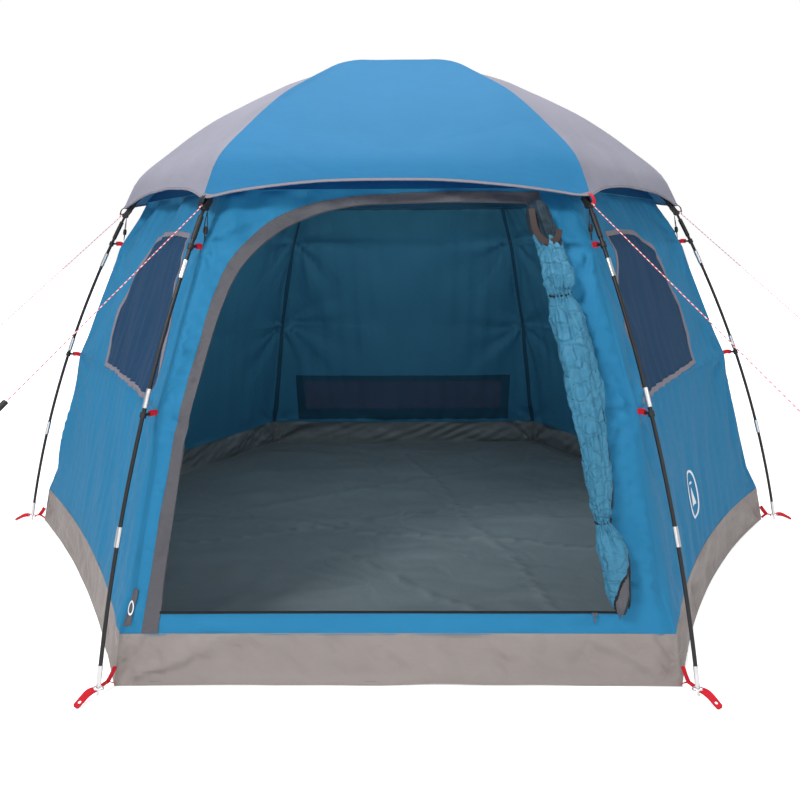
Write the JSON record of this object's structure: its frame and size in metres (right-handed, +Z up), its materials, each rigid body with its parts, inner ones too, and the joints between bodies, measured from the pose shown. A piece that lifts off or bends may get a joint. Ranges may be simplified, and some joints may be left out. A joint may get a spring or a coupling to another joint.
{
  "type": "pop up tent",
  "caption": "Hexagonal pop up dome tent with an outside folding pole frame, bathtub floor, curved door rolled to one side, mesh windows and a short rain fly.",
  "frame": {"origin": "centre of the floor's underside, on the vertical line through the hub", "axes": "+Z up, -Y out through the door, +X towards the right-hand side corner when facing the tent"},
  "size_m": [5.851, 4.577, 1.99],
  "materials": {
    "fly_blue": "coated polyester, blue",
    "fly_grey": "coated polyester, light grey",
    "wall_blue": "coated polyester, blue",
    "tub_grey": "heavy coated polyester, warm grey",
    "roof_blue": "breathable polyester, blue",
    "mesh_navy": "insect mesh, navy",
    "binding_grey": "grey tape and zip",
    "frame_grey": "grey piping",
    "roll_blue": "rolled door fabric",
    "tie_dark": "dark webbing loop",
    "red_webbing": "red webbing",
    "black_cord": "elastic cord",
    "guy_cord": "red and white braided cord",
    "steel": "satin",
    "black_rod": "wrapped glass fibre",
    "black_plastic": "moulded nylon"
  },
  "bodies": {
    "ground": {"ground_sheet": "tub_grey", "wall_front": "wall_blue", "wall_side_left": "wall_blue", "wall_side_right": "wall_blue", "walls_rear": "wall_blue", "opening_frames": "frame_grey", "mesh_panels": "mesh_navy", "door_binding": "binding_grey", "door_roll": "roll_blue", "door_ties": "tie_dark", "corner_straps": "red_webbing", "peg_rings": "steel", "pole_tabs": "red_webbing", "knee_straps": "black_cord", "guylines": "guy_cord"},
    "slider": {"zip_slider": "steel"},
    "hub": {"hub_base": "black_plastic", "hub_pins": "steel", "inner_roof": "roof_blue", "fly_blue": "fly_blue", "fly_grey": "fly_grey"},
    "grip": {"hub_grip": "black_plastic"},
    "strut_1": {"strut_rod_1": "black_rod", "strut_ends_1": "black_plastic"},
    "leg_1": {"leg_rods_1": "black_rod", "leg_steel_1": "steel", "leg_plastic_1": "black_plastic"},
    "line_runner_1": {"runner_1": "black_plastic"},
    "strut_2": {"strut_rod_2": "black_rod", "strut_ends_2": "black_plastic"},
    "leg_2": {"leg_rods_2": "black_rod", "leg_steel_2": "steel", "leg_plastic_2": "black_plastic"},
    "line_runner_2": {"runner_2": "black_plastic"},
    "strut_3": {"strut_rod_3": "black_rod", "strut_ends_3": "black_plastic"},
    "leg_3": {"leg_rods_3": "black_rod", "leg_steel_3": "steel", "leg_plastic_3": "black_plastic"},
    "line_runner_3": {"runner_3": "black_plastic"},
    "strut_4": {"strut_rod_4": "black_rod", "strut_ends_4": "black_plastic"},
    "leg_4": {"leg_rods_4": "black_rod", "leg_steel_4": "steel", "leg_plastic_4": "black_plastic"},
    "line_runner_4": {"runner_4": "black_plastic"},
    "strut_5": {"strut_rod_5": "black_rod", "strut_ends_5": "black_plastic"},
    "leg_5": {"leg_rods_5": "black_rod", "leg_steel_5": "steel", "leg_plastic_5": "black_plastic"},
    "line_runner_5": {"runner_5": "black_plastic"},
    "strut_6": {"strut_rod_6": "black_rod", "strut_ends_6": "black_plastic"},
    "leg_6": {"leg_rods_6": "black_rod", "leg_steel_6": "steel", "leg_plastic_6": "black_plastic"},
    "line_runner_6": {"runner_6": "black_plastic"}
  },
  "joints": [
    {"name": "hub_drop", "type": "slide", "parent": "ground", "child": "hub", "axis": [0, 0, 1], "range_m": [-1.695, 0], "deforming": ["wall_front", "wall_side_left", "wall_side_right", "walls_rear", "opening_frames", "mesh_panels", "door_binding", "door_roll", "door_ties", "corner_straps", "peg_rings", "pole_tabs", "knee_straps", "guylines", "ground_sheet", "inner_roof", "fly_blue", "fly_grey"]},
    {"name": "strut_swing_1", "type": "hinge", "parent": "hub", "child": "strut_1", "pos_m": [0.06, 0, 1.936], "axis": [0, -1, 0], "range_deg": [0, 106.39]},
    {"name": "knee_fold_1", "type": "hinge", "parent": "strut_1", "child": "leg_1", "pos_m": [1.19, 0, 1.385], "axis": [0, -1, 0], "range_deg": [-122.56, 0]},
    {"name": "strut_swing_2", "type": "hinge", "parent": "hub", "child": "strut_2", "pos_m": [0.03, 0.05196, 1.936], "axis": [0.866, -0.5, 0], "range_deg": [0, 106.39]},
    {"name": "knee_fold_2", "type": "hinge", "parent": "strut_2", "child": "leg_2", "pos_m": [0.595, 1.03057, 1.385], "axis": [0.866, -0.5, 0], "range_deg": [-122.56, 0]},
    {"name": "strut_swing_3", "type": "hinge", "parent": "hub", "child": "strut_3", "pos_m": [-0.03, 0.05196, 1.936], "axis": [0.866, 0.5, 0], "range_deg": [0, 106.39]},
    {"name": "knee_fold_3", "type": "hinge", "parent": "strut_3", "child": "leg_3", "pos_m": [-0.595, 1.03057, 1.385], "axis": [0.866, 0.5, 0], "range_deg": [-122.56, 0]},
    {"name": "strut_swing_4", "type": "hinge", "parent": "hub", "child": "strut_4", "pos_m": [-0.06, 0, 1.936], "axis": [0, 1, 0], "range_deg": [0, 106.39]},
    {"name": "knee_fold_4", "type": "hinge", "parent": "strut_4", "child": "leg_4", "pos_m": [-1.19, 0, 1.385], "axis": [0, 1, 0], "range_deg": [-122.56, 0]},
    {"name": "strut_swing_5", "type": "hinge", "parent": "hub", "child": "strut_5", "pos_m": [-0.03, -0.05196, 1.936], "axis": [-0.866, 0.5, 0], "range_deg": [0, 106.39]},
    {"name": "knee_fold_5", "type": "hinge", "parent": "strut_5", "child": "leg_5", "pos_m": [-0.595, -1.03057, 1.385], "axis": [-0.866, 0.5, 0], "range_deg": [-122.56, 0]},
    {"name": "strut_swing_6", "type": "hinge", "parent": "hub", "child": "strut_6", "pos_m": [0.03, -0.05196, 1.936], "axis": [-0.866, -0.5, 0], "range_deg": [0, 106.39]},
    {"name": "knee_fold_6", "type": "hinge", "parent": "strut_6", "child": "leg_6", "pos_m": [0.595, -1.03057, 1.385], "axis": [-0.866, -0.5, 0], "range_deg": [-122.56, 0]},
    {"name": "grip_pull", "type": "slide", "parent": "hub", "child": "grip", "axis": [0, 0, -1], "range_m": [0, 0.016]},
    {"name": "zip_travel", "type": "slide", "parent": "ground", "child": "slider", "axis": [-1, 0, 0], "range_m": [0, 1.22]},
    {"name": "line_tension_1", "type": "slide", "parent": "leg_1", "child": "line_runner_1", "axis": [0.7717, 0, -0.636], "range_m": [-0.2, 0.25]},
    {"name": "line_tension_2", "type": "slide", "parent": "leg_2", "child": "line_runner_2", "axis": [0.5361, 0.5551, -0.636], "range_m": [-0.2, 0.25]},
    {"name": "line_tension_3", "type": "slide", "parent": "leg_3", "child": "line_runner_3", "axis": [-0.5361, 0.5551, -0.636], "range_m": [-0.2, 0.25]},
    {"name": "line_tension_4", "type": "slide", "parent": "leg_4", "child": "line_runner_4", "axis": [-0.7717, 0, -0.636], "range_m": [-0.2, 0.25]},
    {"name": "line_tension_5", "type": "slide", "parent": "leg_5", "child": "line_runner_5", "axis": [-0.5361, -0.5551, -0.636], "range_m": [-0.2, 0.25]},
    {"name": "line_tension_6", "type": "slide", "parent": "leg_6", "child": "line_runner_6", "axis": [0.5361, -0.5551, -0.636], "range_m": [-0.2, 0.25]}
  ],
  "couplings": [
    {"joint": "strut_swing_1", "follows": "hub_drop", "rad_per_m": -1.0914},
    {"joint": "knee_fold_1", "follows": "hub_drop", "rad_per_m": 1.2578},
    {"joint": "strut_swing_2", "follows": "hub_drop", "rad_per_m": -1.0914},
    {"joint": "knee_fold_2", "follows": "hub_drop", "rad_per_m": 1.2578},
    {"joint": "strut_swing_3", "follows": "hub_drop", "rad_per_m": -1.0914},
    {"joint": "knee_fold_3", "follows": "hub_drop", "rad_per_m": 1.2578},
    {"joint": "strut_swing_4", "follows": "hub_drop", "rad_per_m": -1.0914},
    {"joint": "knee_fold_4", "follows": "hub_drop", "rad_per_m": 1.2578},
    {"joint": "strut_swing_5", "follows": "hub_drop", "rad_per_m": -1.0914},
    {"joint": "knee_fold_5", "follows": "hub_drop", "rad_per_m": 1.2578},
    {"joint": "strut_swing_6", "follows": "hub_drop", "rad_per_m": -1.0914},
    {"joint": "knee_fold_6", "follows": "hub_drop", "rad_per_m": 1.2578}
  ]
}
